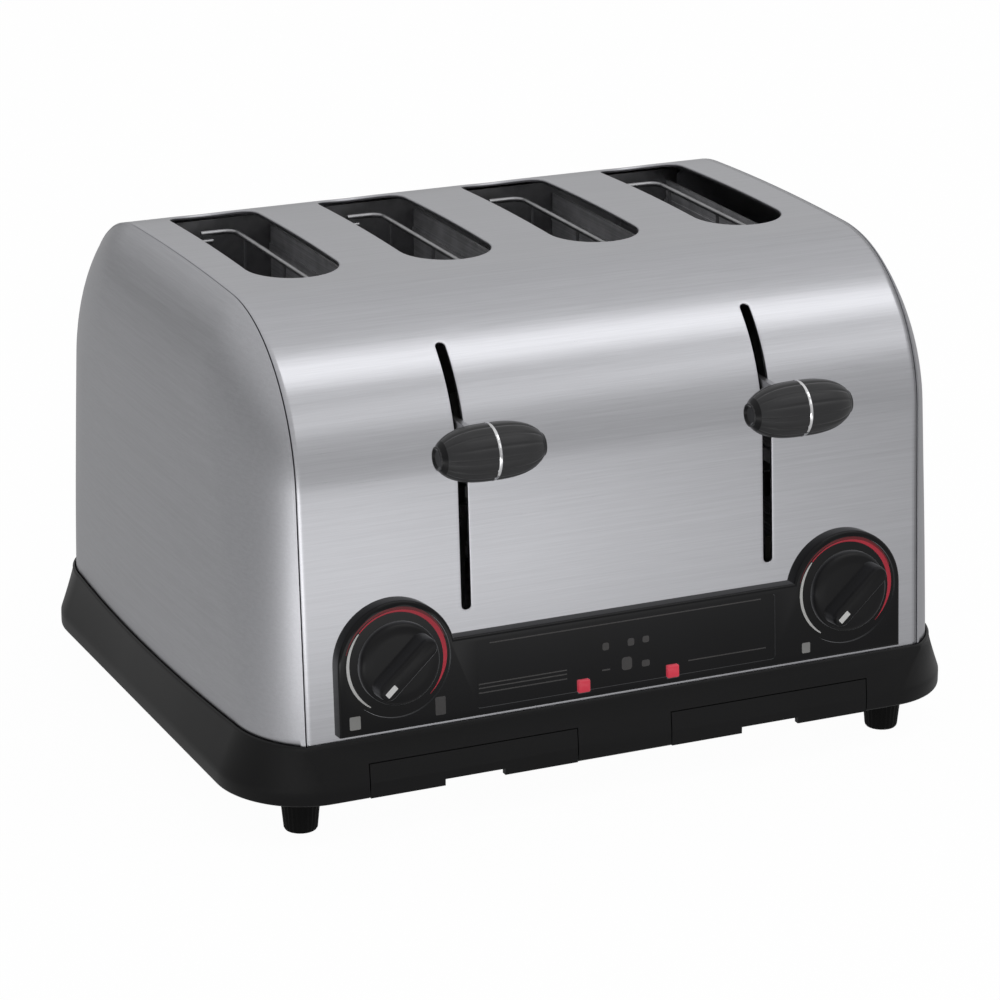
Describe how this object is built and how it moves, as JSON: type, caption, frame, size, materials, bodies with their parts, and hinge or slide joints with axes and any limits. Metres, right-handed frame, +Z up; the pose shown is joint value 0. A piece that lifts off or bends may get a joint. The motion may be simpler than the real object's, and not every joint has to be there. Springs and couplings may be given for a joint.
{
  "type": "toaster",
  "caption": "Wide-slot pop-up toaster with an arched brushed steel body, black base and fascia, twin levers, browning dials, sprung bread racks, wire guards and pull-out crumb trays.",
  "frame": {"origin": "on the table, under the middle of the whole toaster's bounding box with its levers at rest", "axes": "+X to the right of someone facing the front, along the row of slots; the front with its levers and dials faces -Y; +Z up"},
  "size_m": [0.311, 0.2816, 0.2008],
  "materials": {
    "stainless": "brushed stainless sheet",
    "plated_steel": "zinc plated steel, inside the toaster",
    "chrome": "bright plating",
    "black_moulding": "satin black moulding",
    "black_gloss": "polished black moulding",
    "grip": "satin dark grey moulding",
    "foot_rubber": "moulded ribbed rubber",
    "red_lens": "clear red moulding",
    "mica": "mica board with ribbon windings",
    "board": "printed circuit board",
    "control_casing": "pale heat-proof moulding"
  },
  "bodies": {
    "body": {"wrapper": "stainless", "left_end_panel": "stainless", "right_end_panel": "stainless", "base_skirt": "black_moulding", "bottom_plate": "plated_steel", "front_bulkhead": "plated_steel", "rear_bulkhead": "plated_steel", "left_heat_shield": "plated_steel", "right_heat_shield": "plated_steel", "front_left_foot": "foot_rubber", "front_right_foot": "foot_rubber", "rear_left_foot": "foot_rubber", "rear_right_foot": "foot_rubber", "control_fascia": "black_gloss", "lamp_board": "board", "cable_gland": "black_moulding", "terminal_block": "control_casing", "heating_element_1": "mica", "heating_element_2": "mica", "heating_element_3": "mica", "heating_element_4": "mica", "heating_element_5": "mica", "left_guide_rod": "chrome", "left_return_spring": "plated_steel", "left_latch_magnet": "plated_steel", "left_timer_control": "control_casing", "left_indicator_lens": "red_lens", "right_guide_rod": "chrome", "right_return_spring": "plated_steel", "right_latch_magnet": "plated_steel", "right_timer_control": "control_casing", "right_indicator_lens": "red_lens"},
    "left_lever": {"left_lever_knob": "grip", "left_lever_ring": "chrome", "left_lever_arm": "plated_steel", "left_carriage": "plated_steel", "bread_rack_1": "plated_steel", "bread_rack_2": "plated_steel"},
    "right_lever": {"right_lever_knob": "grip", "right_lever_ring": "chrome", "right_lever_arm": "plated_steel", "right_carriage": "plated_steel", "bread_rack_3": "plated_steel", "bread_rack_4": "plated_steel"},
    "left_control": {"left_dial": "black_gloss", "left_dial_shaft": "plated_steel"},
    "right_control": {"right_dial": "black_gloss", "right_dial_shaft": "plated_steel"},
    "left_tray": {"left_crumb_tray": "black_moulding"},
    "right_tray": {"right_crumb_tray": "black_moulding"},
    "left_pair_left_guards": {"bread_guard_1_left": "plated_steel", "bread_guard_2_left": "plated_steel"},
    "left_pair_right_guards": {"bread_guard_1_right": "plated_steel", "bread_guard_2_right": "plated_steel"},
    "right_pair_left_guards": {"bread_guard_3_left": "plated_steel", "bread_guard_4_left": "plated_steel"},
    "right_pair_right_guards": {"bread_guard_3_right": "plated_steel", "bread_guard_4_right": "plated_steel"}
  },
  "joints": [
    {"name": "left_lever_slide", "type": "slide", "parent": "body", "child": "left_lever", "axis": [0, 0, -1], "range_m": [-0.022, 0.06], "stiffness_N_per_m": 90, "springref_m": -0.01722, "deforming": ["left_return_spring"]},
    {"name": "right_lever_slide", "type": "slide", "parent": "body", "child": "right_lever", "axis": [0, 0, -1], "range_m": [-0.022, 0.06], "stiffness_N_per_m": 90, "springref_m": -0.01722, "deforming": ["right_return_spring"]},
    {"name": "left_dial_turn", "type": "hinge", "parent": "body", "child": "left_control", "pos_m": [-0.096, -0.1094, 0.07065], "axis": [0, 0.9982, -0.0604], "range_deg": [0, 270]},
    {"name": "right_dial_turn", "type": "hinge", "parent": "body", "child": "right_control", "pos_m": [0.096, -0.1094, 0.07065], "axis": [0, 0.9982, -0.0604], "range_deg": [0, 270]},
    {"name": "left_tray_slide", "type": "slide", "parent": "body", "child": "left_tray", "axis": [0, -1, 0], "range_m": [0, 0.18]},
    {"name": "right_tray_slide", "type": "slide", "parent": "body", "child": "right_tray", "axis": [0, -1, 0], "range_m": [0, 0.18]},
    {"name": "left_pair_left_guards_slide", "type": "slide", "parent": "body", "child": "left_pair_left_guards", "axis": [1, 0, 0], "range_m": [-0.0012, 0.0031]},
    {"name": "left_pair_right_guards_slide", "type": "slide", "parent": "body", "child": "left_pair_right_guards", "axis": [-1, 0, 0], "range_m": [-0.0012, 0.0031]},
    {"name": "right_pair_left_guards_slide", "type": "slide", "parent": "body", "child": "right_pair_left_guards", "axis": [1, 0, 0], "range_m": [-0.0012, 0.0031]},
    {"name": "right_pair_right_guards_slide", "type": "slide", "parent": "body", "child": "right_pair_right_guards", "axis": [-1, 0, 0], "range_m": [-0.0012, 0.0031]}
  ],
  "couplings": [
    {"joint": "left_pair_left_guards_slide", "follows": "left_lever_slide", "ratio": 0.05},
    {"joint": "left_pair_right_guards_slide", "follows": "left_lever_slide", "ratio": 0.05},
    {"joint": "right_pair_left_guards_slide", "follows": "right_lever_slide", "ratio": 0.05},
    {"joint": "right_pair_right_guards_slide", "follows": "right_lever_slide", "ratio": 0.05}
  ]
}
